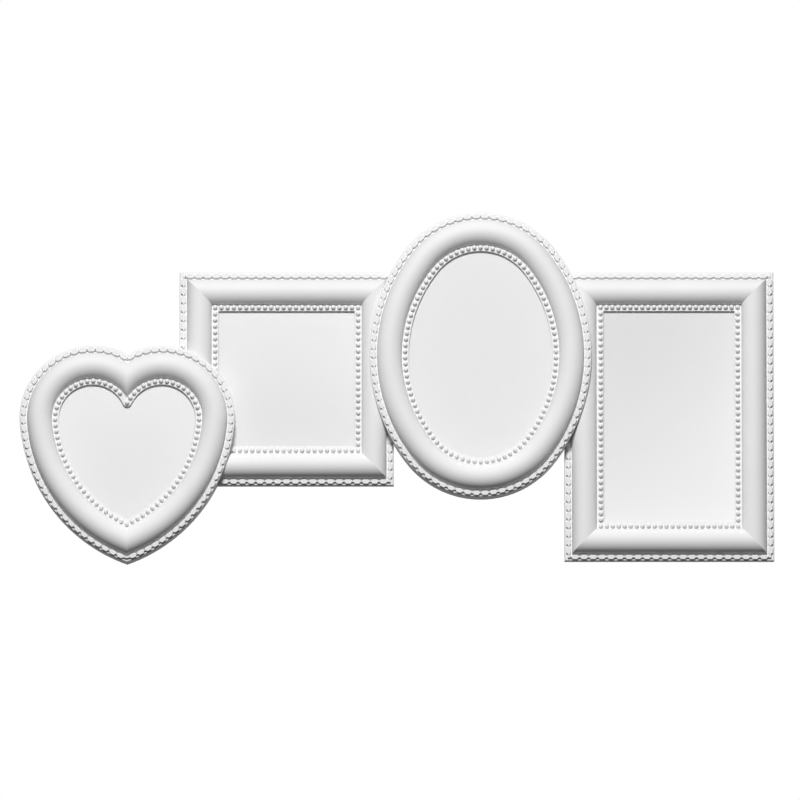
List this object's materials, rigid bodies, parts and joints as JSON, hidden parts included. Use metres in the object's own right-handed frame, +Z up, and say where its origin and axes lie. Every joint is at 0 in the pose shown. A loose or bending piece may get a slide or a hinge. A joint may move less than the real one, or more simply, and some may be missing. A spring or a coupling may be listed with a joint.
{
  "type": "collage photo frame",
  "caption": "White moulded wall collage: heart, square, oval and upright rectangular picture frames lapped in a row, with half-round mouldings, panes, back boards and turn buttons.",
  "frame": {"origin": "in the wall plane, midway between the two keyhole hangers, 12 mm below the top edges of the square and the rectangle", "axes": "+X along the row to the viewer's right, +Y into the wall, so the front faces -Y, +Z up the wall"},
  "size_m": [0.5236, 0.0283, 0.2442],
  "materials": {
    "white_plastic": "satin white moulded plastic",
    "clear_pane": "clear, polished",
    "insert_card": "plain pale grey paper card",
    "back_board": "brown pressed fibre board",
    "zinc_steel": "zinc-plated steel"
  },
  "bodies": {
    "row": {"heart_frame": "white_plastic", "heart_pane": "clear_pane", "heart_insert": "insert_card", "heart_back_board": "back_board", "square_frame": "white_plastic", "square_pane": "clear_pane", "square_insert": "insert_card", "square_back_board": "back_board", "oval_frame": "white_plastic", "oval_pane": "clear_pane", "oval_insert": "insert_card", "oval_back_board": "back_board", "rectangle_frame": "white_plastic", "rectangle_pane": "clear_pane", "rectangle_insert": "insert_card", "rectangle_back_board": "back_board", "heart_square_upper_joiner": "zinc_steel", "heart_square_lower_joiner": "zinc_steel", "square_oval_upper_joiner": "zinc_steel", "square_oval_lower_joiner": "zinc_steel", "oval_rectangle_upper_joiner": "zinc_steel", "oval_rectangle_lower_joiner": "zinc_steel", "square_hanger": "zinc_steel", "rectangle_hanger": "zinc_steel", "turn_button_screws": "zinc_steel", "joiner_screws": "zinc_steel", "hanger_screws": "zinc_steel"},
    "heart_turn_button_1": {"heart_turn_button_1": "zinc_steel"},
    "heart_turn_button_2": {"heart_turn_button_2": "zinc_steel"},
    "heart_turn_button_3": {"heart_turn_button_3": "zinc_steel"},
    "square_turn_button_1": {"square_turn_button_1": "zinc_steel"},
    "square_turn_button_2": {"square_turn_button_2": "zinc_steel"},
    "square_turn_button_3": {"square_turn_button_3": "zinc_steel"},
    "oval_turn_button_1": {"oval_turn_button_1": "zinc_steel"},
    "oval_turn_button_2": {"oval_turn_button_2": "zinc_steel"},
    "oval_turn_button_3": {"oval_turn_button_3": "zinc_steel"},
    "oval_turn_button_4": {"oval_turn_button_4": "zinc_steel"},
    "rectangle_turn_button_1": {"rectangle_turn_button_1": "zinc_steel"},
    "rectangle_turn_button_2": {"rectangle_turn_button_2": "zinc_steel"},
    "rectangle_turn_button_3": {"rectangle_turn_button_3": "zinc_steel"},
    "rectangle_turn_button_4": {"rectangle_turn_button_4": "zinc_steel"}
  },
  "joints": [
    {"name": "heart_turn_button_1_pivot", "type": "hinge", "parent": "row", "child": "heart_turn_button_1", "pos_m": [-0.29522, -0.0133, -0.06518], "axis": [0, -1, 0], "range_deg": [-100, 100]},
    {"name": "heart_turn_button_2_pivot", "type": "hinge", "parent": "row", "child": "heart_turn_button_2", "pos_m": [-0.27747, -0.0133, -0.15529], "axis": [0, -1, 0], "range_deg": [-100, 100]},
    {"name": "heart_turn_button_3_pivot", "type": "hinge", "parent": "row", "child": "heart_turn_button_3", "pos_m": [-0.21293, -0.0133, -0.15529], "axis": [0, -1, 0], "range_deg": [-100, 100]},
    {"name": "square_turn_button_1_pivot", "type": "hinge", "parent": "row", "child": "square_turn_button_1", "pos_m": [-0.1767, -0.0021, -0.0018], "axis": [0, -1, 0], "range_deg": [-100, 100]},
    {"name": "square_turn_button_2_pivot", "type": "hinge", "parent": "row", "child": "square_turn_button_2", "pos_m": [-0.074, -0.0021, -0.0625], "axis": [0, -1, 0], "range_deg": [-100, 100]},
    {"name": "square_turn_button_3_pivot", "type": "hinge", "parent": "row", "child": "square_turn_button_3", "pos_m": [-0.1137, -0.0021, -0.1232], "axis": [0, -1, 0], "range_deg": [-100, 100]},
    {"name": "oval_turn_button_1_pivot", "type": "hinge", "parent": "row", "child": "oval_turn_button_1", "pos_m": [0.02937, -0.0133, 0.02964], "axis": [0, -1, 0], "range_deg": [-100, 100]},
    {"name": "oval_turn_button_2_pivot", "type": "hinge", "parent": "row", "child": "oval_turn_button_2", "pos_m": [-0.02937, -0.0133, 0.02964], "axis": [0, -1, 0], "range_deg": [-100, 100]},
    {"name": "oval_turn_button_3_pivot", "type": "hinge", "parent": "row", "child": "oval_turn_button_3", "pos_m": [-0.02937, -0.0133, -0.12304], "axis": [0, -1, 0], "range_deg": [-100, 100]},
    {"name": "oval_turn_button_4_pivot", "type": "hinge", "parent": "row", "child": "oval_turn_button_4", "pos_m": [0.02937, -0.0133, -0.12304], "axis": [0, -1, 0], "range_deg": [-100, 100]},
    {"name": "rectangle_turn_button_1_pivot", "type": "hinge", "parent": "row", "child": "rectangle_turn_button_1", "pos_m": [0.17305, -0.0021, -0.0018], "axis": [0, -1, 0], "range_deg": [-100, 100]},
    {"name": "rectangle_turn_button_2_pivot", "type": "hinge", "parent": "row", "child": "rectangle_turn_button_2", "pos_m": [0.0721, -0.0021, -0.1308], "axis": [0, -1, 0], "range_deg": [-100, 100]},
    {"name": "rectangle_turn_button_3_pivot", "type": "hinge", "parent": "row", "child": "rectangle_turn_button_3", "pos_m": [0.13105, -0.0021, -0.1758], "axis": [0, -1, 0], "range_deg": [-100, 100]},
    {"name": "rectangle_turn_button_4_pivot", "type": "hinge", "parent": "row", "child": "rectangle_turn_button_4", "pos_m": [0.19, -0.0021, -0.0888], "axis": [0, -1, 0], "range_deg": [-100, 100]}
  ]
}
